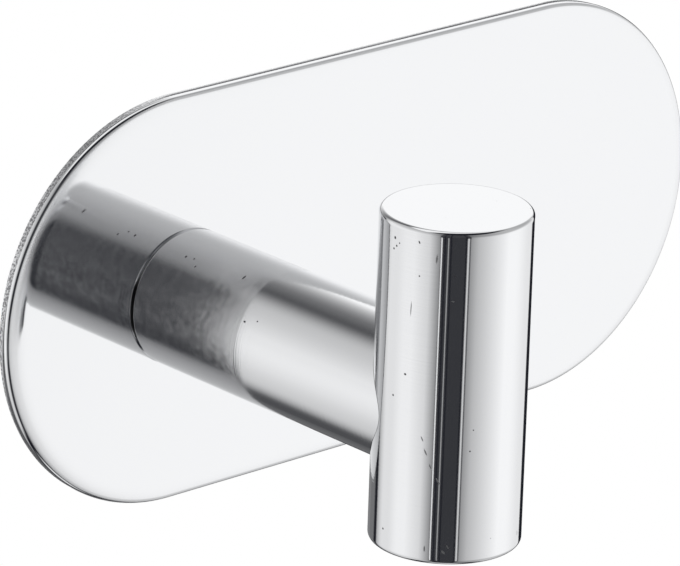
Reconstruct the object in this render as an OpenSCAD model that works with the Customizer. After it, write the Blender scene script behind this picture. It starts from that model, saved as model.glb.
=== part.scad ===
// Adhesive wall hook: a stamped round-ended plate with a foam tape pad behind it,
// a round post standing out of the plate and an upright round peg across the post's end.
// One long screw from behind the plate clamps plate, post and peg together.
// Millimetres. The wall is the plane y = 0, the room is on the -Y side and +Z is up.

/* [Back plate] */
// Length of the plate along the wall
plate_len = 100; // [80:1:140]
// Height of the plate, which is also the diameter of its round ends
plate_h = 46; // [36:1:70]
// Thickness of the sheet
plate_t = 1.6; // [0.8:0.1:3]
// Radius rolled onto the front rim by the stamping die
plate_roll = 0.4; // [0.1:0.05:0.6]

/* [Adhesive pad] */
// Thickness of the foam carrier
foam_t = 0.9; // [0.6:0.1:2]
// Thickness of the adhesive on each face of the foam
film_t = 0.1; // [0.05:0.05:0.3]
// How far the pad stays inside the plate's rim
pad_inset = 1.5; // [0.5:0.1:5]
// Room round the screw's head in the window of the pad
window_clear = 1.5; // [0.5:0.1:4]

/* [Post] */
// Place of the post along the plate, from the middle of the plate
post_x = -25.4; // [-32:0.1:32]
// Outer diameter of the post
post_d = 15.3; // [12:0.1:20]
// Wall of the post's tube
post_wall = 1.5; // [1:0.1:2]
// From the plate's front face to the axis of the peg
reach = 41.7; // [32:0.1:70]
// Chamfer round the post's foot
foot_chamfer = 0.25; // [0.1:0.05:0.6]
// Length of the plug in the post's foot
plug_len = 6; // [5:0.5:12]

/* [Peg] */
// Outer diameter of the peg
peg_d = 16; // [15:0.1:22]
// Wall of the peg's tube
peg_wall = 1.5; // [1:0.1:2.5]
// From the post's axis up to the peg's top
peg_up = 21.9; // [16:0.1:40]
// From the post's axis down to the peg's lower end
peg_down = 14.3; // [13:0.1:30]
// Thickness of each end cap's disc
cap_t = 1.5; // [1:0.1:3]
// Length of each end cap's spigot in the tube
spigot_h = 3; // [2:0.5:5]
// Radius polished onto the peg's end rims
peg_edge = 0.3; // [0.1:0.05:0.8]
// Height of the threaded slug inside the peg
slug_h = 12; // [9:0.5:16]

/* [Fasteners] */
// Diameter of the tie screw
screw_d = 5; // [4:0.5:6]
// Diameter of the tie screw's thin head
head_d = 9; // [8:0.1:10]
// How far the screw runs past the peg's axis
tip_past_axis = 1.8; // [1:0.1:4]
// Width across the flats of the hexagon socket
socket_af = 2.5; // [2:0.1:3]
// Depth of the hexagon socket
socket_depth = 2; // [1.5:0.1:3]
// Diameter of the locating pin
pin_d = 1.5; // [1:0.1:1.6]
// Depth of the locating pin in the plug
pin_depth = 4; // [2:0.5:4.5]

/* [Clearances] */
// Between the screw's head and the wall
head_wall_gap = 0.2; // [0.1:0.05:0.5]
// Round the screw where it passes through
screw_clear = 0.2; // [0.1:0.05:0.4]
// Round the screw in the slug's thread
thread_clear = 0.03; // [0.01:0.01:0.1]
// Round a piece pressed into a tube, and round the pin
press_clear = 0.02; // [0.01:0.01:0.1]
// Between the post's saddle and the peg
saddle_clear = 0.02; // [0.01:0.01:0.1]
// Beyond the pin's end in its blind hole
blind_clear = 0.3; // [0.1:0.1:0.5]

/* [Hidden] */
$fn = 96;
pad_t = foam_t + 2 * film_t;
plate_front = pad_t + plate_t;
peg_axis_out = plate_front + reach;
post_id = post_d - 2 * post_wall;
peg_id = peg_d - 2 * peg_wall;
plug_d = post_id - 2 * press_clear;
slug_d = peg_id - 2 * press_clear;
spigot_d = peg_id - 2 * press_clear;
screw_hole_d = screw_d + 2 * screw_clear;
pin_hole_d = pin_d + 2 * press_clear;
pin_offset = (screw_hole_d + plug_d) / 4;
window_d = head_d + 2 * window_clear;
head_h = pad_t - head_wall_gap;
tube_top = peg_up - cap_t;
tube_bottom = -peg_down + cap_t;
cut_over = 1;
steel = [0.90, 0.91, 0.92];
dark_steel = [0.62, 0.63, 0.65];

// Stands children on the wall: their z becomes the distance out from the wall, their y is up.
module on_wall(out = 0) {
    rotate([90, 0, 0]) translate([0, 0, out]) children();
}

// The same, centred on the post's axis.
module on_post(out = 0) {
    translate([post_x, 0, 0]) on_wall(out) children();
}

// Stands children upright on the peg's axis, with z = 0 at the post's axis.
module on_peg(up = 0) {
    translate([post_x, -peg_axis_out, up]) children();
}

// A flat outline with two straight sides and two round ends.
module round_ended(length, height) {
    square([length - height, height], center = true);
    for (side = [-1, 1]) translate([side * (length - height) / 2, 0]) circle(d = height);
}

module pad_layer(out, thickness) {
    on_wall(out) linear_extrude(thickness) difference() {
        round_ended(plate_len - 2 * pad_inset, plate_h - 2 * pad_inset);
        translate([post_x, 0]) circle(d = window_d);
    }
}

// Half of the plate's cross-section, from the middle line out to the rolled rim.
module plate_section() {
    square([plate_h / 2 - plate_roll, plate_t]);
    square([plate_h / 2, plate_t - plate_roll]);
    translate([plate_h / 2 - plate_roll, plate_t - plate_roll]) circle(r = plate_roll);
}

module plate_blank() {
    straight = plate_len - plate_h;
    for (turn = [0, 180]) rotate([0, 0, turn]) translate([straight / 2, 0, 0])
        rotate([0, 0, -90]) rotate_extrude(angle = 180) plate_section();
    for (turn = [0, 180]) rotate([0, 0, turn]) translate([straight / 2, 0, 0])
        rotate([90, 0, -90]) linear_extrude(straight) plate_section();
}

module back_plate() {
    color(steel) difference() {
        on_wall(pad_t) plate_blank();
        on_post(pad_t - cut_over) cylinder(d = screw_hole_d, h = plate_t + 2 * cut_over);
        on_post(pad_t - cut_over) translate([0, pin_offset, 0])
            cylinder(d = pin_hole_d, h = plate_t + 2 * cut_over);
    }
}

module plate_adhesive_film() {
    color([0.86, 0.87, 0.86]) pad_layer(film_t + foam_t, film_t);
}

module adhesive_foam() {
    color([0.55, 0.56, 0.58]) pad_layer(film_t, foam_t);
}

module wall_adhesive_film() {
    color([0.86, 0.87, 0.86]) pad_layer(0, film_t);
}

// The tube's far end is coped to sit on the round of the peg.
module post_tube() {
    color(steel) difference() {
        on_post(plate_front) rotate_extrude() polygon([
            [post_id / 2, 0],
            [post_d / 2 - foot_chamfer, 0],
            [post_d / 2, foot_chamfer],
            [post_d / 2, reach],
            [post_id / 2, reach]
        ]);
        on_peg(-post_d) cylinder(d = peg_d + 2 * saddle_clear, h = 2 * post_d);
    }
}

module post_foot_plug() {
    color(dark_steel) on_post(plate_front) difference() {
        cylinder(d = plug_d, h = plug_len);
        translate([0, 0, -cut_over]) cylinder(d = screw_hole_d, h = plug_len + 2 * cut_over);
        translate([0, pin_offset, -cut_over])
            cylinder(d = pin_hole_d, h = pin_depth + blind_clear + cut_over);
    }
}

module locating_pin() {
    color(dark_steel) on_post(pad_t) translate([0, pin_offset, 0])
        cylinder(d = pin_d, h = plate_t + pin_depth);
}

module peg_tube() {
    color(steel) difference() {
        on_peg(tube_bottom) cylinder(d = peg_d, h = tube_top - tube_bottom);
        on_peg(tube_bottom - cut_over) cylinder(d = peg_id, h = tube_top - tube_bottom + 2 * cut_over);
        on_post(peg_axis_out - peg_d) cylinder(d = screw_hole_d, h = peg_d);
    }
}

// Half-section of an end cap: spigot below z = 0, polished disc above it.
module cap_section() {
    translate([0, -spigot_h]) square([spigot_d / 2, spigot_h]);
    square([peg_d / 2 - peg_edge, cap_t]);
    square([peg_d / 2, cap_t - peg_edge]);
    translate([peg_d / 2 - peg_edge, cap_t - peg_edge]) circle(r = peg_edge);
}

module peg_top_cap() {
    color(steel) on_peg(tube_top) rotate_extrude() cap_section();
}

module peg_bottom_cap() {
    color(steel) on_peg(tube_bottom) rotate([180, 0, 0]) rotate_extrude() cap_section();
}

module peg_slug() {
    color(dark_steel) difference() {
        on_peg(-slug_h / 2) cylinder(d = slug_d, h = slug_h);
        on_post(peg_axis_out - peg_d) cylinder(d = screw_d + 2 * thread_clear, h = 2 * peg_d);
    }
}

module tie_screw() {
    color(dark_steel) on_post(head_wall_gap) difference() {
        union() {
            cylinder(d = head_d, h = head_h);
            cylinder(d = screw_d, h = peg_axis_out + tip_past_axis - head_wall_gap);
        }
        translate([0, 0, -cut_over])
            cylinder(d = socket_af / cos(30), h = socket_depth + cut_over, $fn = 6);
    }
}

back_plate();
plate_adhesive_film();
adhesive_foam();
wall_adhesive_film();
post_tube();
post_foot_plug();
locating_pin();
peg_tube();
peg_top_cap();
peg_bottom_cap();
peg_slug();
tie_screw();
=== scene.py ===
"""Looks of an adhesive wall hook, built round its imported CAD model.

A mirror polished plate, post and peg, a foam tape pad behind the plate and the screw that
ties them together, in a white studio with a dark gap where the camera stands.
"""

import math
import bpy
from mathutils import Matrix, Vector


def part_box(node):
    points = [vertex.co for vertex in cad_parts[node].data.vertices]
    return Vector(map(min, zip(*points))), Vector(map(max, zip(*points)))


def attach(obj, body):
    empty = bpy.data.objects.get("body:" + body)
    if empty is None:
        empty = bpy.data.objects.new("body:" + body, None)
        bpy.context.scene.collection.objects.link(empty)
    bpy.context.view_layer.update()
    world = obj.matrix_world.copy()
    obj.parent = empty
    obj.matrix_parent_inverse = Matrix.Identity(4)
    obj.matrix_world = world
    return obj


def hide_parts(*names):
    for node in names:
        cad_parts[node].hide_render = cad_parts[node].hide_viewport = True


bl_info = {
    "name": "Adhesive Wall Hook",
    "version": (1, 0, 0),
    "blender": (4, 5, 0),
    "location": "3D View > Sidebar > Wall Hook",
    "description": "Models a polished adhesive wall hook round its packed CAD frame",
    "category": "Object",
}

import bmesh
import bpy
from bpy.props import FloatProperty, FloatVectorProperty, PointerProperty
from mathutils import Matrix, Vector

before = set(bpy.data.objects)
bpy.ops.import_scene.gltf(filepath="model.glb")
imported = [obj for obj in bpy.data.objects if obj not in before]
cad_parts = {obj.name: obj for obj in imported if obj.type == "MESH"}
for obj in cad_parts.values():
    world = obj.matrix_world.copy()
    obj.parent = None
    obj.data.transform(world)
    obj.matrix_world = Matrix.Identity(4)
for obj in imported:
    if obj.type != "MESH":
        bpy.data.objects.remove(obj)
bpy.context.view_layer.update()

MM = 0.001
# Steps round a turned piece, and round each corner of a flat one
AROUND = 256
END_STEPS = 64
# Points that lie closer than this become one
WELD = 0.0005 * MM
# Faces that meet at a larger angle keep a sharp edge
SHARP = math.radians(35.0)
# Room round a piece that is pressed into another
PRESS_CLEAR = 0.02 * MM
# How far a cutter reaches on each side of the face that it cuts
CUT_REACH = Vector((0.0, 5.0 * MM, 0.0))


def middle(node):
    """Centre of a CAD node's box."""
    lowest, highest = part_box(node)
    return (lowest + highest) / 2


PLATE_LOW, PLATE_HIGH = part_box("back_plate")
POST_LOW, POST_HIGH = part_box("post_tube")
PEG_LOW, PEG_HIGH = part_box("peg_tube")
POST_AXIS = middle("post_tube")
PEG_AXIS = middle("peg_tube")
PLATE_FRONT = PLATE_LOW.y
PLATE_BACK = PLATE_HIGH.y


# Properties

class WallHookSizes(bpy.types.PropertyGroup):
    """Fine shapes that the finished steel has beyond the CAD solids."""

    rim_radius: FloatProperty(
        name="Rim radius", description="Radius of the plate's front rim",
        default=0.52 * MM, unit="LENGTH")
    roll_width: FloatProperty(
        name="Die roll width", description="How far in from the rim the front starts to fall away",
        default=2.3 * MM, unit="LENGTH")
    roll_tilt: FloatProperty(
        name="Die roll tilt", description="How steep the front has become where the rim's radius starts",
        default=math.radians(16.0), subtype="ANGLE")
    straight_roll: FloatProperty(
        name="Straight roll", description="Share of the roll that the plate's straight sides have",
        default=0.22, min=0.0, max=1.0, subtype="FACTOR")
    burnish: FloatProperty(
        name="Burnished band", description="Width of the bright band on the punched edge",
        default=0.06 * MM, unit="LENGTH")
    tear_step: FloatProperty(
        name="Tear step", description="How far the rough band stands back from the bright one",
        default=0.03 * MM, unit="LENGTH")
    back_break: FloatProperty(
        name="Back edge break", description="Chamfer on the plate's back edge",
        default=0.04 * MM, unit="LENGTH")
    foot_chamfer: FloatProperty(
        name="Foot chamfer", description="Chamfer round the post's foot",
        default=0.25 * MM, unit="LENGTH")
    foot_radius: FloatProperty(
        name="Foot radius", description="Radius between the post's side and its foot chamfer",
        default=0.2 * MM, unit="LENGTH")
    saddle_clear: FloatProperty(
        name="Saddle gap", description="Gap between the post's saddle and the peg",
        default=0.02 * MM, unit="LENGTH")
    tube_wall: FloatProperty(
        name="Tube wall", description="Wall of the post's and the peg's tube",
        default=1.5 * MM, unit="LENGTH")
    peg_edge: FloatProperty(
        name="Peg edge", description="Radius polished onto the peg's end rims",
        default=0.55 * MM, unit="LENGTH")
    screw_hole: FloatProperty(
        name="Screw hole", description="Diameter of the hole that the tie screw passes through",
        default=5.4 * MM, unit="LENGTH")
    foam_bulge: FloatProperty(
        name="Foam bulge", description="How far the foam's edge swells at half its thickness",
        default=0.12 * MM, unit="LENGTH")
    film_bulge: FloatProperty(
        name="Film bulge", description="How far the adhesive's edge swells at half its thickness",
        default=0.02 * MM, unit="LENGTH")
    window_clear: FloatProperty(
        name="Window room", description="Room round the screw's head in the window of the pad",
        default=1.5 * MM, unit="LENGTH")
    screw_shank: FloatProperty(
        name="Screw", description="Diameter of the tie screw",
        default=5.0 * MM, unit="LENGTH")
    head_edge: FloatProperty(
        name="Head edge", description="Round on the rim of the tie screw's head",
        default=0.25 * MM, unit="LENGTH")
    tip_chamfer: FloatProperty(
        name="Tip chamfer", description="Chamfer on the tie screw's tip",
        default=0.7 * MM, unit="LENGTH")
    socket: FloatProperty(
        name="Socket", description="Width across the flats of the screw's hexagon socket",
        default=2.5 * MM, unit="LENGTH")
    socket_depth: FloatProperty(
        name="Socket depth", description="Depth of the screw's hexagon socket",
        default=2.0 * MM, unit="LENGTH")


class WallHookFinish(bpy.types.PropertyGroup):
    """Colours and polish of the hook's materials."""

    polish: FloatVectorProperty(
        name="Polished steel", description="Colour of the mirror polished steel",
        subtype="COLOR", default=(0.93, 0.935, 0.945))
    mill: FloatVectorProperty(
        name="Torn steel", description="Colour of the rough band and of the plate's back",
        subtype="COLOR", default=(0.34, 0.34, 0.35))
    turned: FloatVectorProperty(
        name="Turned steel", description="Colour of the plug, pin, slug and screw",
        subtype="COLOR", default=(0.62, 0.62, 0.63))
    foam: FloatVectorProperty(
        name="Foam", description="Colour of the tape's foam",
        subtype="COLOR", default=(0.33, 0.34, 0.35))
    adhesive: FloatVectorProperty(
        name="Adhesive", description="Colour of the adhesive on the foam",
        subtype="COLOR", default=(0.50, 0.51, 0.51))
    gloss: FloatProperty(
        name="Mirror roughness", description="Roughness of the cleanest polish",
        default=0.03, min=0.0, max=1.0, subtype="FACTOR")
    wheel_marks: FloatProperty(
        name="Wheel marks", description="How much rougher the post is along itself than round itself",
        default=1.0, min=0.0, max=1.0, subtype="FACTOR")
    foot_haze: FloatProperty(
        name="Foot haze", description="Roughness of the post where the plate keeps the wheel away",
        default=0.15, min=0.0, max=1.0, subtype="FACTOR")
    roll_haze: FloatProperty(
        name="Roll haze", description="Extra roughness where the plate's front rolls down to its rim",
        default=0.2, min=0.0, max=1.0, subtype="FACTOR")
    haze_length: FloatProperty(
        name="Haze length", description="How far the hazy part of the post reaches from the plate",
        default=16.4 * MM, unit="LENGTH")


class WallHookStudio(bpy.types.PropertyGroup):
    """Where the camera stands, and the floor below the hook."""

    azimuth: FloatProperty(
        name="Azimuth", description="Camera's turn from the front, negative to the left",
        default=math.radians(-42.525), subtype="ANGLE")
    elevation: FloatProperty(
        name="Elevation", description="Camera's height above the horizon",
        default=math.radians(19.901), subtype="ANGLE")
    roll: FloatProperty(
        name="Roll", description="Camera's turn about its own line of sight",
        default=math.radians(1.930), subtype="ANGLE")
    distance: FloatProperty(
        name="Distance", description="From the camera to the point it aims at",
        default=712.52 * MM, unit="LENGTH")
    lens: FloatProperty(
        name="Lens", description="Focal length in millimetres on a 36 mm sensor",
        default=342.78, unit="CAMERA")
    aim: FloatVectorProperty(
        name="Aim", description="Point that the camera looks at",
        default=(-2.516 * MM, -2.145 * MM, -3.569 * MM), subtype="TRANSLATION")
    floor: FloatVectorProperty(
        name="Floor", description="Colour of the pale floor",
        subtype="COLOR", default=(0.93, 0.93, 0.93))
    floor_drop: FloatProperty(
        name="Floor drop", description="How far the floor lies below the hook",
        default=1.5, unit="LENGTH")
    floor_radius: FloatProperty(
        name="Floor radius", description="Radius of the round floor",
        default=1.3, unit="LENGTH")


# Shader maths

class Shade:
    """A value in a node tree. Arithmetic on it adds Math nodes to the tree."""

    def __init__(self, tree, socket=None):
        self.tree = tree
        self.socket = socket

    def node(self, kind, settings=None, sockets=None, output=0):
        """Adds a node, makes its settings, fills its sockets and returns one output."""
        made = self.tree.nodes.new(kind)
        for name, value in (settings or {}).items():
            setattr(made, name, value)
        for name, value in (sockets or {}).items():
            if isinstance(value, Shade):
                self.tree.links.new(value.socket, made.inputs[name])
            else:
                made.inputs[name].default_value = value
        return Shade(self.tree, made.outputs[output] if len(made.outputs) else None)

    def maths(self, operation, *values):
        """Adds a Math node."""
        return self.node("ShaderNodeMath", {"operation": operation}, dict(enumerate(values)))

    def other(self, output):
        """Another output of the node that this value comes from."""
        return Shade(self.tree, self.socket.node.outputs[output])

    def parts(self):
        """The x, y and z of a vector."""
        x = self.node("ShaderNodeSeparateXYZ", {}, {0: self})
        return x, x.other(1), x.other(2)

    def smooth(self, start, end, low=0.0, high=1.0, kind="SMOOTHSTEP"):
        """Runs from low to high as the value runs from start to end."""
        return self.node(
            "ShaderNodeMapRange", {"interpolation_type": kind},
            {"Value": self, "From Min": start, "From Max": end, "To Min": low, "To Max": high})

    def mix(self, low, high):
        """Mixes two colours, with this value as the factor."""
        return self.node("ShaderNodeMix", {"data_type": "RGBA"}, {0: self, 6: low, 7: high}, 2)

    def scaled(self, x, y, z):
        """A vector, stretched along each axis."""
        return self.node(
            "ShaderNodeVectorMath", {"operation": "MULTIPLY"}, {0: self, 1: (x, y, z)})

    def noise(self, scale, detail=2.0):
        """Noise between about 0.2 and 0.8, at a vector's place."""
        return self.node(
            "ShaderNodeTexNoise", {}, {"Vector": self, "Scale": scale, "Detail": detail}, "Fac")

    def __add__(self, other):
        return self.maths("ADD", self, other)

    __radd__ = __add__

    def __sub__(self, other):
        return self.maths("SUBTRACT", self, other)

    def __rsub__(self, other):
        return self.maths("SUBTRACT", other, self)

    def __mul__(self, other):
        return self.maths("MULTIPLY", self, other)

    __rmul__ = __mul__

    def __truediv__(self, other):
        return self.maths("DIVIDE", self, other)

    def __neg__(self):
        return self.maths("MULTIPLY", self, -1.0)


def stripe(value, place, half_width):
    """1 where the value is at a place, and 0 from half a width away."""
    return value.smooth(place - half_width, place) * value.smooth(place + half_width, place)


def solid_colour(colour):
    """A colour with its alpha."""
    return (colour[0], colour[1], colour[2], 1.0)


def new_material(name):
    """A material with an empty tree, the start of its maths and its Object coordinates."""
    material = bpy.data.materials.new(name)
    material.use_nodes = True
    material.node_tree.nodes.clear()
    start = Shade(material.node_tree)
    place = start.node("ShaderNodeTexCoord", output="Object")
    return material, start, place


def close_material(start, sockets, height=None, distance=0.0):
    """Adds the surface shader, with a bump where a height is given, and the output."""
    if height is not None:
        sockets["Normal"] = start.node(
            "ShaderNodeBump", {}, {"Strength": 1.0, "Distance": distance, "Height": height})
    surface = start.node("ShaderNodeBsdfPrincipled", {}, sockets)
    start.node("ShaderNodeOutputMaterial", {}, {"Surface": surface})


# Materials

WHITE = (1.0, 1.0, 1.0, 1.0)
HAZED = (0.88, 0.885, 0.90, 1.0)
STAINED = (0.44, 0.44, 0.45, 1.0)
DULL = (0.10, 0.10, 0.105, 1.0)
# Near black: the painted shadow in the post's joint with the plate
JOINT_SHADOW = (0.03, 0.03, 0.032, 1.0)


def clean_steel(finish, haze):
    """The polish's colour, a trace duller in places."""
    return (0.08 * haze).mix(solid_colour(finish.polish), HAZED)


def pits(start, place, cell, share, size):
    """Small dark specks: 1 inside a speck, in a share of the cells of a random pattern."""
    spots = start.node(
        "ShaderNodeTexVoronoi", {}, {"Vector": place, "Scale": 1.0 / cell, "Randomness": 1.0})
    chance = spots.other("Color").parts()[0]
    return spots.smooth(size, 0.4 * size) * chance.smooth(share, 0.9 * share)


def sparse_pits(start, place):
    """The few specks that the polish has everywhere."""
    return pits(start, place, 2.6 * MM, 0.16, 0.035)


def plate_material(finish, sizes):
    """Mirror front, bright burnished band, torn grey band and mill finish behind."""
    material, start, place = new_material("plate_polish")
    x, y, z = place.parts()
    rim_end = PLATE_FRONT + rim_profile(sizes)[-1][1]
    # The torn band has an uneven front, is narrower low down and weak along the straight sides
    wobble = (place.scaled(900.0, 0.0, 900.0).noise(1.0) - 0.5) * (0.25 * MM)
    wobble = wobble - z.smooth(8.0 * MM, -6.0 * MM, 0.0, 0.6 * MM)
    torn = (y + wobble).smooth(rim_end + 0.02 * MM, rim_end + 0.08 * MM)
    torn = torn * x.maths("ABSOLUTE", x).smooth(26.0 * MM, 38.0 * MM, 0.15, 1.0)
    edge = y.smooth(rim_end - 0.02 * MM, rim_end + 0.02 * MM)
    # The roll is hazy from the flat front down to where the rim's radius starts
    rolled = y.smooth(PLATE_FRONT, PLATE_FRONT + 0.06 * MM, kind="LINEAR")
    rolled = rolled * y.smooth(PLATE_FRONT + 0.23 * MM, PLATE_FRONT + 0.19 * MM)
    haze = place.noise(45.0)
    hairline = place.scaled(60.0, 60.0, 9000.0).noise(1.0).smooth(0.62, 0.72)
    grain = place.noise(4200.0, 1.0).smooth(0.40, 0.60)
    drag = place.scaled(7000.0, 200.0, 7000.0).noise(1.0)
    rough = finish.gloss + 0.012 * haze + 0.03 * hairline + finish.roll_haze * rolled
    rough = rough + edge * (0.08 + 0.08 * drag) + torn * (0.22 + 0.2 * grain)
    mottle = torn * (0.1 + 0.9 * grain)
    colour = mottle.mix(clean_steel(finish, haze), solid_colour(finish.mill))
    height = torn * grain + 0.3 * edge * drag
    close_material(
        start, {"Base Color": colour, "Metallic": 1.0, "Roughness": rough}, height, 0.012 * MM)
    return material


def mark(place, spot, turn, size):
    """A small oval mark: 1 at a spot and 0 past its half axes, turned to lie on the steel."""
    local = place.node(
        "ShaderNodeMapping", {"vector_type": "TEXTURE"},
        {"Vector": place, "Location": spot, "Rotation": turn, "Scale": size})
    away = local.node("ShaderNodeVectorMath", {"operation": "LENGTH"}, {0: local}, "Value")
    return away.smooth(1.0, 0.45)


POST_PITS = (
    (60, 4.2, 0.22, 0.15), (61, 5.4, 0.14, 0.14), (55, 6.4, 0.20, 0.12),
    (63, 13.2, 0.45, 0.16), (29, 17.1, 0.15, 0.20), (33, 18.8, 0.12, 0.12),
    (150, 9.0, 0.15, 0.20), (-100, 22.0, 0.16, 0.14),
)


def post_marks(place, radius):
    """Marks on the post: (angle up from its left side, way out, half width, half length)."""
    marks = 0.0
    for angle, out, across, along in POST_PITS:
        way = math.radians(angle)
        spot = Vector((
            POST_AXIS.x - radius * math.cos(way), PLATE_FRONT - out * MM,
            POST_AXIS.z + radius * math.sin(way)))
        turn = (0.0, way - math.pi / 2, 0.0)
        marks = mark(place, spot, turn, (across * MM, along * MM, MM)) + marks
    return marks


PEG_PITS = (
    (-94, 20.2, 0.20, 0.22, 0), (-92, 19.4, 0.16, 0.16, 0), (-95, 19.0, 0.16, 0.16, 0),
    (-89, 19.8, 0.12, 0.12, 0), (-71, 20.5, 0.12, 0.24, -25), (-70, 16.9, 0.12, 0.12, 0),
    (-79, 6.0, 0.20, 0.16, 0), (-90, 3.3, 0.16, 0.16, 0), (-96, -11.7, 0.16, 0.16, 0),
    (-25, 0.6, 0.10, 0.10, 0), (-27, -1.7, 0.12, 0.12, 0), (110, 8.0, 0.15, 0.18, 0),
    (60, -6.5, 0.15, 0.15, 0), (160, 14.0, 0.16, 0.14, 0),
)
PEG_SCRATCHES = (
    (-63, -0.6, 0.09, 0.40, -25), (-60, -2.0, 0.11, 0.50, -24), (-56, -3.5, 0.10, 0.40, -24),
    (-50, -5.0, 0.09, 0.45, -30), (-76, 13.2, 0.08, 1.00, 2), (-57, 19.0, 0.14, 0.60, 4),
    (-58, -12.6, 0.12, 0.45, 0), (-44, -12.8, 0.14, 0.30, -40), (-41, -12.2, 0.08, 0.30, -30),
    (26, -12.4, 0.10, 0.40, 0), (-44, 14.6, 0.20, 0.07, 10), (85, 2.0, 0.09, 0.70, 20),
)


def peg_marks(place, radius, rows):
    """Marks on the peg: (angle from the front, height, half width, half length, lean)."""
    marks = 0.0
    for angle, height, across, along, lean in rows:
        way = math.radians(angle)
        spot = Vector((
            PEG_AXIS.x + radius * math.sin(way), PEG_AXIS.y - radius * math.cos(way),
            POST_AXIS.z + height * MM))
        turn = (0.0, math.radians(lean), way)
        marks = mark(place, spot, turn, (across * MM, MM, along * MM)) + marks
    return marks


def post_material(finish):
    """Polished along a wheel: fine marks run round the post, and its foot half is hazy."""
    material, start, place = new_material("post_polish")
    x, y, z = place.parts()
    out = PLATE_FRONT - y
    line = place.scaled(80.0, 5200.0, 80.0).noise(1.0)
    haze = place.noise(60.0)
    foot = out.smooth(finish.haze_length + 0.3 * MM, finish.haze_length - 0.1 * MM)
    # The haze is strongest a little above the middle
    worn = z.smooth(POST_AXIS.z - 4.5 * MM, POST_AXIS.z + 1.5 * MM)
    worn = worn * z.smooth(POST_AXIS.z + 9.0 * MM, POST_AXIS.z + 2.5 * MM, 0.45, 1.0)
    # The painted shadow in the joint with the plate, partly polishing residue, is widest and darkest on
    # the left
    joint_shadow_spread = z.smooth(POST_AXIS.z - 4.4 * MM, POST_AXIS.z - 1.5 * MM)
    joint_shadow_spread = joint_shadow_spread * z.smooth(POST_AXIS.z + 4.8 * MM, POST_AXIS.z + 2.4 * MM)
    joint_shadow_spread = joint_shadow_spread * x.smooth(POST_AXIS.x, POST_AXIS.x - 4.0 * MM)
    # Painted shadow of the gap at the joint: the foot is coloured near black where it meets the plate
    joint = (0.08 * MM + 0.2 * MM * joint_shadow_spread - out).smooth(-0.02 * MM, 0.02 * MM)
    joint = joint * (0.45 + 0.55 * joint_shadow_spread)
    radius = (POST_HIGH.x - POST_LOW.x) / 2
    specks = sparse_pits(start, place) + post_marks(place, radius)
    specks = specks.smooth(0.0, 1.0)
    streak = place.scaled(300.0, 4600.0, 300.0).noise(1.0)
    patch = place.noise(1500.0)
    mottle = 0.5 * streak + 1.2 * patch - 0.85
    foot_rough = finish.foot_haze * (0.52 + 0.60 * worn) + 0.09 * mottle
    clear_rough = 2.0 * finish.gloss
    rough = clear_rough + foot * (foot_rough - clear_rough)
    rough = rough + 0.02 * (line - 0.5) + 0.3 * specks + 0.3 * joint
    # The joint's painted shadow colour goes over the steel and its specks
    colour = joint.mix(specks.mix(clean_steel(finish, haze), DULL), JOINT_SHADOW)
    surface = {
        "Base Color": colour, "Metallic": 1.0, "Roughness": rough,
        "Anisotropic": finish.wheel_marks}
    close_material(start, surface, line, 0.004 * MM)
    return material


def peg_material(finish, ends):
    """Mirror polished peg with specks that gather near its welded ends, and a few scratches."""
    material, start, place = new_material("peg_polish")
    height = place.parts()[2]
    line = place.scaled(80.0, 80.0, 5200.0).noise(1.0)
    haze = place.noise(60.0)
    near = height.smooth(ends[0] + 6.0 * MM, ends[0] + 1.0 * MM)
    near = near + height.smooth(ends[1] - 6.0 * MM, ends[1] - 1.0 * MM)
    specks = sparse_pits(start, place)
    specks = specks + near * pits(start, place, 1.1 * MM, 0.25, 0.07)
    radius = (PEG_HIGH.x - PEG_LOW.x) / 2
    specks = (specks + peg_marks(place, radius, PEG_PITS)).smooth(0.0, 1.0)
    scratch = peg_marks(place, radius, PEG_SCRATCHES)
    rough = finish.gloss + 0.015 * haze + 0.02 * line + 0.3 * specks + 0.5 * scratch
    colour = (specks + 0.75 * scratch).smooth(0.0, 1.0, kind="LINEAR").mix(
        clean_steel(finish, haze), DULL)
    close_material(
        start, {"Base Color": colour, "Metallic": 1.0, "Roughness": rough}, line, 0.003 * MM)
    return material


def turned_material(name, finish, along):
    """Turned steel with the lathe's marks round it, along being the number of its axis."""
    material, start, place = new_material(name)
    fine = [120.0, 120.0, 120.0]
    fine[along] = 4000.0
    line = place.scaled(*fine).noise(1.0)
    stain = place.noise(300.0)
    rough = 0.24 + 0.16 * line + 0.08 * stain
    colour = (line * stain).mix(solid_colour(finish.turned), STAINED)
    close_material(
        start, {"Base Color": colour, "Metallic": 1.0, "Roughness": rough}, line, 0.01 * MM)
    return material


def foam_material(finish):
    """Closed-cell foam with small round cells, their hollows sunk by the bump and given painted shade.
    """
    material, start, place = new_material("foam_cells")
    cells = start.node("ShaderNodeTexVoronoi", {}, {"Vector": place, "Scale": 6500.0})
    cell_hollow_and_shade = cells.smooth(0.1, 0.6)
    cloud = place.noise(500.0)
    shade = solid_colour([0.72 * part for part in finish.foam])
    # Painted shade: the darker colour sits in the cells' hollows
    colour = (cell_hollow_and_shade * (0.6 + 0.5 * cloud)).mix(shade, solid_colour(finish.foam))
    close_material(
        start, {"Base Color": colour, "Roughness": 0.82 + 0.12 * cloud}, cell_hollow_and_shade, 0.05 * MM)
    return material


def adhesive_material(finish):
    """Tacky adhesive with a faint orange-peel surface and the foam showing through."""
    material, start, place = new_material("adhesive_film")
    peel = place.noise(1400.0, 3.0)
    cloud = place.noise(90.0)
    shade = solid_colour([0.8 * part for part in finish.adhesive])
    colour = (0.7 * peel + 0.3 * cloud).mix(shade, solid_colour(finish.adhesive))
    rough = 0.22 + 0.2 * peel
    close_material(start, {"Base Color": colour, "Roughness": rough}, peel, 0.03 * MM)
    return material


# Modelling

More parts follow.
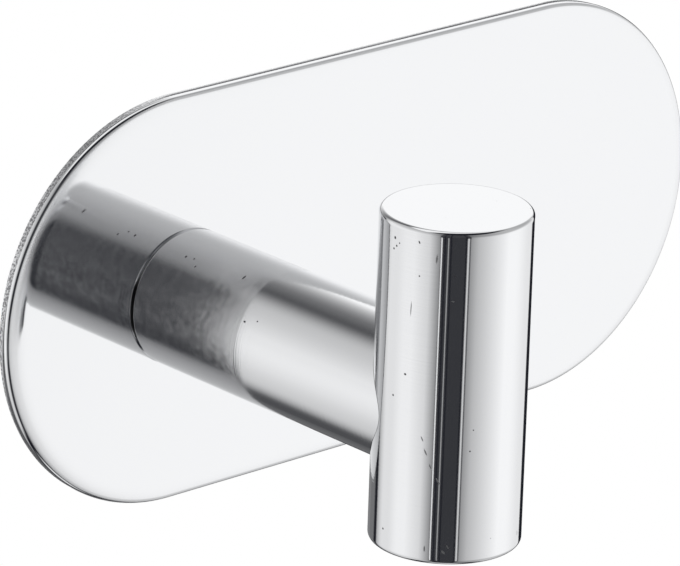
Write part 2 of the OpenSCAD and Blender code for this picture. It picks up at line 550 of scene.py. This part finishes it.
def clear_selection():
    """Leaves edit mode and deselects everything."""
    if bpy.context.mode != "OBJECT":
        bpy.ops.object.mode_set(mode="OBJECT")
    bpy.ops.object.select_all(action="DESELECT")


def only(piece):
    """Makes one piece the selected and active one."""
    clear_selection()
    piece.select_set(True)
    bpy.context.view_layer.objects.active = piece


def pick(piece, kind, test):
    """In edit mode, selects the piece's vertices, edges or faces that pass a test."""
    bpy.ops.mesh.select_mode(type=kind)
    bpy.ops.mesh.select_all(action="DESELECT")
    mesh = bmesh.from_edit_mesh(piece.data)
    parts = {"VERT": mesh.verts, "EDGE": mesh.edges, "FACE": mesh.faces}[kind]
    found = [part for part in parts if test(part)]
    if not found:
        raise RuntimeError(f"nothing to select on {piece.name}")
    for part in found:
        part.select_set(True)
    mesh.select_flush_mode()
    bmesh.update_edit_mesh(piece.data)


def turned(name, section, place, turn=(0.0, 0.0, 0.0), closed=True):
    """Draws half of a section, (radius, height) by (radius, height), and spins it round.

    A closed section is a ring, and an open one starts and ends on the axis.
    """
    clear_selection()
    bpy.ops.mesh.primitive_plane_add(size=MM)
    piece = bpy.context.object
    piece.name = name
    bpy.ops.object.mode_set(mode="EDIT")
    bpy.ops.mesh.select_mode(type="VERT")
    bpy.ops.mesh.merge(type="CENTER")
    bpy.ops.transform.translate(value=(section[0][0], 0.0, section[0][1]))
    for before, after in zip(section, section[1:]):
        step = (after[0] - before[0], 0.0, after[1] - before[1])
        bpy.ops.mesh.extrude_region_move(TRANSFORM_OT_translate={"value": step})
    if closed:
        pick(piece, "VERT", lambda vertex: len(vertex.link_edges) == 1)
        bpy.ops.mesh.edge_face_add()
    bpy.ops.mesh.select_all(action="SELECT")
    bpy.ops.mesh.spin(steps=AROUND, angle=math.tau, center=(0, 0, 0), axis=(0, 0, 1))
    bpy.ops.mesh.select_all(action="SELECT")
    bpy.ops.mesh.remove_doubles(threshold=WELD)
    bpy.ops.mesh.normals_make_consistent(inside=False)
    bpy.ops.object.mode_set(mode="OBJECT")
    piece.rotation_euler = turn
    piece.location = place
    bpy.ops.object.transform_apply(location=True, rotation=True, scale=True)
    return piece


def round_ended(name, length, height, y):
    """A flat upright face with two straight sides and two round ends, left in edit mode."""
    clear_selection()
    bpy.ops.mesh.primitive_plane_add(size=1.0, rotation=(math.pi / 2, 0, 0), location=(0, y, 0))
    piece = bpy.context.object
    piece.name = name
    piece.scale = (length, height, 1.0)
    bpy.ops.object.transform_apply(location=True, rotation=True, scale=True)
    bpy.ops.object.mode_set(mode="EDIT")
    bpy.ops.mesh.select_all(action="SELECT")
    bpy.ops.mesh.bevel(
        offset=height / 2, segments=END_STEPS, profile=0.5, affect="VERTICES",
        clamp_overlap=False)
    bpy.ops.mesh.select_all(action="SELECT")
    bpy.ops.mesh.remove_doubles(threshold=WELD)
    return piece


def thicken(depth):
    """In edit mode, draws a flat face out along +Y into a closed slab."""
    bpy.ops.mesh.select_all(action="SELECT")
    bpy.ops.mesh.extrude_region_move(TRANSFORM_OT_translate={"value": (0.0, depth, 0.0)})
    bpy.ops.mesh.select_all(action="SELECT")
    bpy.ops.mesh.normals_make_consistent(inside=False)


def pick_cover(piece, side):
    """Selects the large flat face that looks along +Y or -Y."""
    bpy.ops.mesh.select_mode(type="FACE")
    mesh = bmesh.from_edit_mesh(piece.data)
    mesh.normal_update()
    facing = [face for face in mesh.faces if face.normal.y * side > 0.99]
    largest = max(facing, key=lambda face: face.calc_area())
    spot = largest.calc_center_median()
    size = largest.calc_area()
    pick(piece, "FACE", lambda face: (
        (face.calc_center_median() - spot).length < WELD and face.calc_area() > 0.99 * size))


def drill(name, radius, start, end, corners=AROUND):
    """A cutter that runs from one point to another."""
    clear_selection()
    way = end - start
    bpy.ops.mesh.primitive_cylinder_add(
        vertices=corners, radius=radius, depth=way.length, location=(start + end) / 2,
        rotation=way.to_track_quat("Z", "Y").to_euler())
    cutter = bpy.context.object
    cutter.name = name
    return cutter


def cut(piece, cutter):
    """Cuts a cutter's shape out of a piece and removes the cutter."""
    only(piece)
    change = piece.modifiers.new("cut", "BOOLEAN")
    change.operation = "DIFFERENCE"
    change.solver = "EXACT"
    change.object = cutter
    bpy.ops.object.modifier_apply(modifier=change.name)
    bpy.data.objects.remove(cutter)


def finish_piece(piece, material, nodes):
    """Smooths a piece, gives it its material, hangs it on the root body and hides the CAD nodes it
    stands for.
    """
    only(piece)
    bpy.ops.object.shade_smooth_by_angle(angle=SHARP)
    piece.data.materials.clear()
    piece.data.materials.append(material)
    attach(piece, "root")
    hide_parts(*nodes)


def rim_profile(sizes):
    """The plate's front rim: (way in from the edge, way forward) from the burnished band inwards.

    A small radius comes first, then the shallow roll that the punch's pull leaves.
    """
    steps = 10
    ease = 2.2
    points = []
    for step in range(steps + 1):
        tilt = math.pi / 2 + (sizes.roll_tilt - math.pi / 2) * step / steps
        points.append((
            sizes.rim_radius * (1.0 - math.sin(tilt)), sizes.rim_radius * math.cos(tilt)))
    stride = sizes.roll_width / steps
    for step in range(steps):
        tilt = sizes.roll_tilt * (1.0 - (step + 0.5) / steps) ** ease
        inward, forward = points[-1]
        points.append((inward + stride, forward + stride * math.tan(tilt)))
    return points


# Operators

class WALLHOOK_OT_plate(bpy.types.Operator):
    """Model the punched and polished plate"""

    bl_idname = "wall_hook.plate"
    bl_label = "Plate"

    def execute(self, context):
        sizes = context.scene.wall_hook_sizes
        finish = context.scene.wall_hook_finish
        size = PLATE_HIGH - PLATE_LOW
        profile = rim_profile(sizes)
        depth = profile[-1][1]
        piece = round_ended("plate", size.x, size.z, PLATE_FRONT + depth)
        thicken(sizes.burnish)
        self.tear_back(piece, sizes, size.y - depth - sizes.burnish)
        self.roll_front(piece, profile)
        bpy.ops.object.mode_set(mode="OBJECT")
        drop = depth - sizes.rim_radius * math.cos(sizes.roll_tilt)
        self.level_sides(piece, depth, drop, sizes.straight_roll)
        foot = Vector((POST_AXIS.x, PLATE_FRONT, POST_AXIS.z))
        cut(piece, drill("screw_hole", sizes.screw_hole / 2, foot - CUT_REACH, foot + CUT_REACH))
        pin_low, pin_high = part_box("locating_pin")
        pin = middle("locating_pin")
        pin.y = PLATE_FRONT
        pin_radius = (pin_high.x - pin_low.x) / 2 + PRESS_CLEAR
        cut(piece, drill("pin_hole", pin_radius, pin - CUT_REACH, pin + CUT_REACH))
        finish_piece(piece, plate_material(finish, sizes), ["back_plate"])
        return {"FINISHED"}

    def tear_back(self, piece, sizes, rest):
        """Steps the edge back where the punch tore it, and breaks the back edge."""
        step = 0.05 * MM
        lean = 0.02 * MM
        pick_cover(piece, 1)
        bpy.ops.mesh.inset(thickness=sizes.tear_step, depth=step)
        bpy.ops.mesh.inset(thickness=lean, depth=rest - step - sizes.back_break)
        bpy.ops.mesh.inset(thickness=sizes.back_break, depth=sizes.back_break)

    def roll_front(self, piece, profile):
        """Rounds the front rim off along its profile, then adds a flat margin."""
        margin = 0.2 * MM
        pick_cover(piece, -1)
        for before, after in zip(profile, profile[1:]):
            bpy.ops.mesh.inset(thickness=after[0] - before[0], depth=after[1] - before[1])
        bpy.ops.mesh.inset(thickness=margin, depth=0.0)

    def level_sides(self, piece, depth, drop, kept):
        """Lifts the roll along the straight sides, which keep a share of it.

        The rim is depth below the front face, and the roll takes drop of that.
        """
        straight = (PLATE_HIGH.x - PLATE_LOW.x - PLATE_HIGH.z + PLATE_LOW.z) / 2
        lift = piece.vertex_groups.new(name="lift")
        for vertex in piece.data.vertices:
            down = vertex.co.y - PLATE_FRONT
            if not 0.0 < down < depth:
                continue
            past = max(abs(vertex.co.x) - straight, 0.0) ** 2
            end = past / (past + vertex.co.z ** 2)
            share = min(down / drop, (depth - down) / (depth - drop))
            lift.add([vertex.index], share * (1.0 - kept) * (1.0 - end), "REPLACE")
        only(piece)
        change = piece.modifiers.new("lift", "DISPLACE")
        change.direction = "Y"
        change.mid_level = 0.0
        change.strength = -drop
        change.vertex_group = lift.name
        bpy.ops.object.modifier_apply(modifier=change.name)
        piece.vertex_groups.clear()


class WALLHOOK_OT_post(bpy.types.Operator):
    """Model the post, with its chamfered foot and its end coped to the peg"""

    bl_idname = "wall_hook.post"
    bl_label = "Post"

    def execute(self, context):
        sizes = context.scene.wall_hook_sizes
        finish = context.scene.wall_hook_finish
        outer = (POST_HIGH.x - POST_LOW.x) / 2
        inner = outer - sizes.tube_wall
        saddle = (PEG_HIGH.x - PEG_LOW.x) / 2 + sizes.saddle_clear
        length = PLATE_FRONT - PEG_AXIS.y - saddle
        section = [(inner, 0.0), (outer - sizes.foot_chamfer, 0.0)]
        section += self.foot_round(outer, sizes.foot_chamfer, sizes.foot_radius)
        hold = 0.1 * MM
        short = 0.01 * MM
        section += [
            (outer, section[-1][1] + hold), (outer, length - short), (inner, length - short)]
        foot = Vector((POST_AXIS.x, PLATE_FRONT, POST_AXIS.z))
        piece = turned("post", section, foot, (math.pi / 2, 0.0, 0.0))
        self.cope(piece, saddle, PLATE_FRONT - length + 2 * short)
        self.lay_marks(piece)
        finish_piece(piece, post_material(finish), ["post_tube"])
        return {"FINISHED"}

    def foot_round(self, outer, chamfer, radius):
        """Points of the small radius that joins the foot chamfer to the post's side."""
        steps = 6
        top = chamfer + radius * math.tan(math.pi / 8)
        points = []
        for step in range(steps + 1):
            angle = math.pi / 4 * (step / steps - 1.0)
            points.append((
                outer - radius + radius * math.cos(angle), top + radius * math.sin(angle)))
        return points

    def lay_marks(self, piece):
        """Puts the texture space far to one side, so that the steel's grain lies along the post."""
        piece.data.use_auto_texspace = False
        far = 100.0
        piece.data.texspace_location = (far, 0.0, 0.0)
        piece.data.texspace_size = (1.0, 1.0, 1.0)

    def cope(self, piece, radius, limit):
        """Draws the free end out until it lies on the round of the peg."""
        upright = Vector((0.0, 0.0, 20.0 * MM))
        fine = 4 * AROUND
        peg = drill("peg_round", radius, PEG_AXIS - upright, PEG_AXIS + upright, fine)
        only(piece)
        end = piece.vertex_groups.new(name="cope")
        end.add([v.index for v in piece.data.vertices if v.co.y < limit], 1.0, "REPLACE")
        change = piece.modifiers.new("cope", "SHRINKWRAP")
        change.wrap_method = "PROJECT"
        change.use_project_y = True
        change.use_negative_direction = True
        change.use_positive_direction = False
        change.target = peg
        change.vertex_group = end.name
        bpy.ops.object.modifier_apply(modifier=change.name)
        piece.vertex_groups.clear()
        bpy.data.objects.remove(peg)


class WALLHOOK_OT_peg(bpy.types.Operator):
    """Model the peg's tube and its two end caps"""

    bl_idname = "wall_hook.peg"
    bl_label = "Peg"

    def execute(self, context):
        sizes = context.scene.wall_hook_sizes
        finish = context.scene.wall_hook_finish
        outer = (PEG_HIGH.x - PEG_LOW.x) / 2
        inner = outer - sizes.tube_wall
        axis = Vector((PEG_AXIS.x, PEG_AXIS.y, 0.0))
        ends = (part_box("peg_bottom_cap")[0].z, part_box("peg_top_cap")[1].z)
        material = peg_material(finish, ends)
        above = POST_AXIS.z + sizes.screw_hole
        below = POST_AXIS.z - sizes.screw_hole
        section = [
            (inner, PEG_LOW.z), (outer, PEG_LOW.z),
            (outer, below), (outer, above),
            (outer, PEG_HIGH.z), (inner, PEG_HIGH.z),
            (inner, above), (inner, below),
        ]
        tube = turned("peg", section, axis)
        bore = Vector((PEG_AXIS.x, PEG_AXIS.y, POST_AXIS.z))
        out = Vector((0.0, 2 * outer, 0.0))
        cut(tube, drill("screw_hole", sizes.screw_hole / 2, bore, bore + out))
        finish_piece(tube, material, ["peg_tube"])
        for name, node, joint, end, turn in (
                ("peg_top", "peg_top_cap", PEG_HIGH.z, ends[1], (0.0, 0.0, 0.0)),
                ("peg_bottom", "peg_bottom_cap", PEG_LOW.z, ends[0], (math.pi, 0.0, 0.0))):
            lowest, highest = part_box(node)
            disc = abs(end - joint)
            spigot = (highest.z - lowest.z) - disc
            place = Vector((PEG_AXIS.x, PEG_AXIS.y, joint))
            cap = self.cap(name, outer, inner, disc, spigot, sizes.peg_edge, place, turn)
            finish_piece(cap, material, [node])
        return {"FINISHED"}

    def cap(self, name, outer, inner, disc, spigot, edge, place, turn):
        """An end cap with a round polished edge, and the spigot that sits in the tube."""
        margin = 0.2 * MM
        hold = 0.1 * MM
        lead = 0.4 * MM
        steps = 10
        section = [(0.0, disc), (outer - edge - margin, disc)]
        for step in range(steps + 1):
            angle = math.pi / 2 * (1 - step / steps)
            section.append((
                outer - edge + edge * math.cos(angle), disc - edge + edge * math.sin(angle)))
        fit = inner - PRESS_CLEAR
        section += [(outer, disc - edge - hold), (outer, 0.0), (fit, 0.0)]
        section += [(fit, lead - spigot), (fit - lead, -spigot), (0.0, -spigot)]
        return turned(name, section, place, turn, closed=False)


class WALLHOOK_OT_pad(bpy.types.Operator):
    """Model the foam tape: the foam and the adhesive on both of its faces"""

    bl_idname = "wall_hook.pad"
    bl_label = "Adhesive pad"

    def execute(self, context):
        sizes = context.scene.wall_hook_sizes
        finish = context.scene.wall_hook_finish
        screw_low, screw_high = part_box("tie_screw")
        window = (screw_high.x - screw_low.x) / 2 + sizes.window_clear
        foam = self.layer("foam_pad", "adhesive_foam", sizes.foam_bulge, window)
        finish_piece(foam, foam_material(finish), ["adhesive_foam"])
        material = adhesive_material(finish)
        for name, node in (
                ("adhesive_plate_side", "plate_adhesive_film"),
                ("adhesive_wall_side", "wall_adhesive_film")):
            film = self.layer(name, node, sizes.film_bulge, window)
            finish_piece(film, material, [node])
        return {"FINISHED"}

    def layer(self, name, node, bulge, window):
        """A layer with round ends, an edge that swells at its middle, and the screw's window."""
        lowest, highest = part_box(node)
        size = highest - lowest
        steps = 4
        slice_depth = size.y / (2 * steps)
        piece = round_ended(name, size.x, size.z, lowest.y + (steps - 1) * slice_depth)
        thicken(2 * slice_depth)
        for side in (-1, 1):
            pick_cover(piece, side)
            for step in range(1, steps):
                here = math.cos(math.pi / 2 * (step - 1) / (steps - 1))
                after = math.cos(math.pi / 2 * step / (steps - 1))
                bpy.ops.mesh.inset(thickness=bulge * (here - after), depth=slice_depth)
        bpy.ops.object.mode_set(mode="OBJECT")
        spot = Vector((POST_AXIS.x, lowest.y, POST_AXIS.z))
        cut(piece, drill("window", window, spot - CUT_REACH, spot + CUT_REACH))
        return piece


class WALLHOOK_OT_fasteners(bpy.types.Operator):
    """Model the tie screw, and finish the plug, pin and slug inside"""

    bl_idname = "wall_hook.fasteners"
    bl_label = "Fasteners"

    def execute(self, context):
        sizes = context.scene.wall_hook_sizes
        finish = context.scene.wall_hook_finish
        lowest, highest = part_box("tie_screw")
        head = (highest.x - lowest.x) / 2
        shank = sizes.screw_shank / 2
        edge = sizes.head_edge
        halfway = 0.28 * edge
        tip = sizes.tip_chamfer
        head_top = highest.y - PLATE_BACK
        length = highest.y - lowest.y
        section = [
            (0.0, 0.0), (head - edge, 0.0), (head - halfway, halfway), (head, edge),
            (head, head_top), (shank, head_top),
            (shank, length - tip), (shank - tip, length), (0.0, length),
        ]
        place = Vector((POST_AXIS.x, highest.y, POST_AXIS.z))
        screw = turned("screw", section, place, (math.pi / 2, 0.0, 0.0), closed=False)
        back = Vector((0.0, MM, 0.0))
        deep = Vector((0.0, -sizes.socket_depth, 0.0))
        socket = sizes.socket / math.sqrt(3.0)
        cut(screw, drill("socket", socket, place + back, place + deep, 6))
        along_post = turned_material("turned_along_post", finish, 1)
        finish_piece(screw, along_post, ["tie_screw"])
        along_peg = turned_material("turned_along_peg", finish, 2)
        for node, material in (
                ("post_foot_plug", along_post), ("locating_pin", along_post),
                ("peg_slug", along_peg)):
            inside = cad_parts[node]
            inside.data.materials.clear()
            inside.data.materials.append(material)
        return {"FINISHED"}


class WALLHOOK_OT_stage(bpy.types.Operator):
    """Set up the floor, the studio's light and the camera"""

    bl_idname = "wall_hook.stage"
    bl_label = "Stage"

    def execute(self, context):
        studio = context.scene.wall_hook_studio
        self.floor(studio)
        self.light(context.scene)
        self.camera(context.scene, studio)
        context.scene.view_settings.view_transform = "Standard"
        return {"FINISHED"}

    def floor(self, studio):
        """A round pale floor, far below the hook and out of the steel's reflections."""
        clear_selection()
        bpy.ops.mesh.primitive_circle_add(
            vertices=128, radius=studio.floor_radius, fill_type="NGON",
            location=(0.0, 0.0, -studio.floor_drop))
        floor = bpy.context.object
        floor.name = "floor"
        material, start, place = new_material("pale_floor")
        cloud = place.noise(3.0)
        shade = solid_colour([0.99 * part for part in studio.floor])
        colour = cloud.mix(shade, solid_colour(studio.floor))
        close_material(start, {"Base Color": colour, "Roughness": 0.9})
        floor.data.materials.append(material)
        floor.visible_glossy = False

    def light(self, scene):
        """A white tent of soft sheets that the steel reflects, open where the camera stands.

        Everything else is lit by plain white, which is also what the camera sees behind. Turn
        is in degrees to the right of the front and rise in degrees above the horizon. The
        seam, where turn jumps by a full circle, lies to the right of straight behind.
        """
        world = bpy.data.worlds.new("studio")
        world.use_nodes = True
        world.node_tree.nodes.clear()
        scene.world = world
        start = Shade(world.node_tree)
        x, y, z = start.node("ShaderNodeTexCoord", output="Generated").parts()
        seam = math.radians(15.0)
        across = x * math.cos(seam) - y * math.sin(seam)
        front = -y * math.cos(seam) - x * math.sin(seam)
        turn = (across.maths("ARCTAN2", across, front) - seam) * math.degrees(1.0)
        rise = z.maths("ARCSINE", z) * math.degrees(1.0)
        tent = self.left_sheet(turn, rise) + self.right_sheet(turn, rise)
        tent = tent + self.back_card(turn, rise) + self.haze(turn, rise) + self.gap(turn, rise)
        dark = 0.012
        ceiling = rise.smooth(52.0, 60.0) * y.smooth(0.0, 0.2) * 0.9
        ground = rise.smooth(-72.0, -84.0) * 0.75
        tent = tent * rise.smooth(62.0, 48.0) * rise.smooth(-68.0, -58.0)
        tent = tent + dark + ceiling + ground
        tinted = tent.mix((0.0, 0.001, 0.006, 1.0), (1.0, 1.002, 1.006, 1.0))
        glossy = start.node("ShaderNodeLightPath", output="Is Glossy Ray")
        seen = glossy.mix(WHITE, tinted)
        sky = start.node("ShaderNodeBackground", {}, {"Color": seen, "Strength": 1.0})
        start.node("ShaderNodeOutputWorld", {}, {"Surface": sky})

    def left_sheet(self, turn, rise):
        """The large sheet to the left of the hook, which fades behind it."""
        wide = turn.smooth(-64.0, -82.0, 0.2, 0.715, "LINEAR")
        wide = wide + turn.smooth(-82.0, -106.0, 0.0, 0.2, "LINEAR")
        edge = turn.smooth(-64.5, -66.5) * (1.0 - self.level(rise) * turn.smooth(-165.0, -169.0))
        back = turn.smooth(-150.0, -182.0, 1.0, 0.02)
        high = rise.smooth(-5.0, 50.0, 1.0, 0.56) * rise.smooth(-5.0, -50.0, 1.0, 0.66)
        low = rise.smooth(-17.0, -23.0, 0.025, 0.185)
        near = 0.935 + turn.smooth(-140.0, -118.0) * low
        return wide * edge * back * high * near

    def level(self, rise):
        """1 round the height that the upright faces look at, and 0 well above and below it."""
        return rise.smooth(-34.0, -26.0) * rise.smooth(14.0, 4.0)

    def right_sheet(self, turn, rise):
        """The sheet in front and to the right, brightest a little below the horizon."""
        wide = turn.smooth(-22.0, -9.0, 0.28, 0.5, "LINEAR")
        wide = wide + turn.smooth(-9.0, 42.0, 0.0, 0.463, "LINEAR")
        edge = turn.smooth(-22.5, -20.5) * turn.smooth(106.0, 102.5)
        back = turn.smooth(55.0, 95.0, 1.0, 0.84)
        high = rise.smooth(-8.0, 25.0, 1.0, 0.49) * rise.smooth(-22.0, -40.0, 1.0, 0.57)
        return wide * edge * back * high

    def back_card(self, turn, rise):
        """A white card behind and above, which lights the peg's top and the plate's upper edge.

        Past its sloping edge it fades away along the wall behind.
        """
        onward = turn + 360.0 * turn.maths("LESS_THAN", turn, -120.0)
        inside = (193.0 - rise - 1.2 * onward) / 25.0
        fade = inside.maths("EXPONENT", inside.maths("MINIMUM", inside, 0.0))
        return onward.smooth(96.0, 118.0) * fade * rise.smooth(4.0, 12.0)

    def haze(self, turn, rise):
        """Weak light from the room behind."""
        level = self.level(rise)
        behind = turn.smooth(-173.0, -179.0)
        wide = turn.smooth(106.0, 112.0) * turn.smooth(180.0, 146.0, 0.4, 1.0) + 0.4 * behind
        wide = wide * rise.smooth(-26.0, -34.0) * 0.13
        return wide + level * (turn.smooth(138.0, 150.0, 0.0, 0.2) + 0.16 * behind)

    def gap(self, turn, rise):
        """The dim gap that the camera looks through, with thin lines of light at its edges."""
        dim = turn.smooth(-66.0, -64.5) * turn.smooth(-20.5, -22.5)
        dim = dim * rise.smooth(-5.0, 15.0, 0.024, 0.036)
        for place in (-59.0, -50.0, -28.0):
            dim = dim * (1.0 - stripe(turn, place, 2.2))
        lines = 0.0
        for place, bright, width in ((-64.0, 0.95, 1.5), (-54.0, 0.34, 1.4), (-24.6, 0.65, 2.4)):
            lines = stripe(turn, place, width) * bright + lines
        return dim + lines * rise.smooth(-30.0, -26.0) * rise.smooth(-10.0, -14.0)

    def camera(self, scene, studio):
        """Stands the camera where the photograph was taken from."""
        flat = math.cos(studio.elevation)
        back = Vector((
            math.sin(studio.azimuth) * flat, -math.cos(studio.azimuth) * flat,
            math.sin(studio.elevation)))
        data = bpy.data.cameras.new("camera")
        data.lens = studio.lens
        data.sensor_width = 36.0
        data.clip_start = 0.01
        data.clip_end = 20.0
        camera = bpy.data.objects.new("camera", data)
        scene.collection.objects.link(camera)
        facing = (-back).to_track_quat("-Z", "Y").to_matrix().to_4x4()
        roll = Matrix.Rotation(studio.roll, 4, "Z")
        spot = Matrix.Translation(Vector(studio.aim) + back * studio.distance)
        camera.matrix_world = spot @ facing @ roll
        scene.camera = camera


class VIEW3D_PT_wall_hook(bpy.types.Panel):
    """Lists the hook's sizes, finishes and steps"""

    bl_label = "Wall Hook"
    bl_space_type = "VIEW_3D"
    bl_region_type = "UI"
    bl_category = "Wall Hook"

    def draw(self, context):
        scene = context.scene
        for group in (scene.wall_hook_sizes, scene.wall_hook_finish, scene.wall_hook_studio):
            box = self.layout.box()
            for name in group.__annotations__:
                box.prop(group, name)
        for step in STEPS:
            self.layout.operator(step.bl_idname)


GROUPS = {
    "wall_hook_sizes": WallHookSizes,
    "wall_hook_finish": WallHookFinish,
    "wall_hook_studio": WallHookStudio,
}
STEPS = (
    WALLHOOK_OT_plate, WALLHOOK_OT_post, WALLHOOK_OT_peg, WALLHOOK_OT_pad,
    WALLHOOK_OT_fasteners, WALLHOOK_OT_stage,
)
CLASSES = (*GROUPS.values(), *STEPS, VIEW3D_PT_wall_hook)


def register():
    for made in CLASSES:
        bpy.utils.register_class(made)
    for name, group in GROUPS.items():
        setattr(bpy.types.Scene, name, PointerProperty(type=group))


def unregister():
    for name in GROUPS:
        delattr(bpy.types.Scene, name)
    for made in reversed(CLASSES):
        bpy.utils.unregister_class(made)


def main():
    register()
    bpy.ops.wall_hook.plate()
    bpy.ops.wall_hook.post()
    bpy.ops.wall_hook.peg()
    bpy.ops.wall_hook.pad()
    bpy.ops.wall_hook.fasteners()
    bpy.ops.wall_hook.stage()


if __name__ == "__main__":
    main()
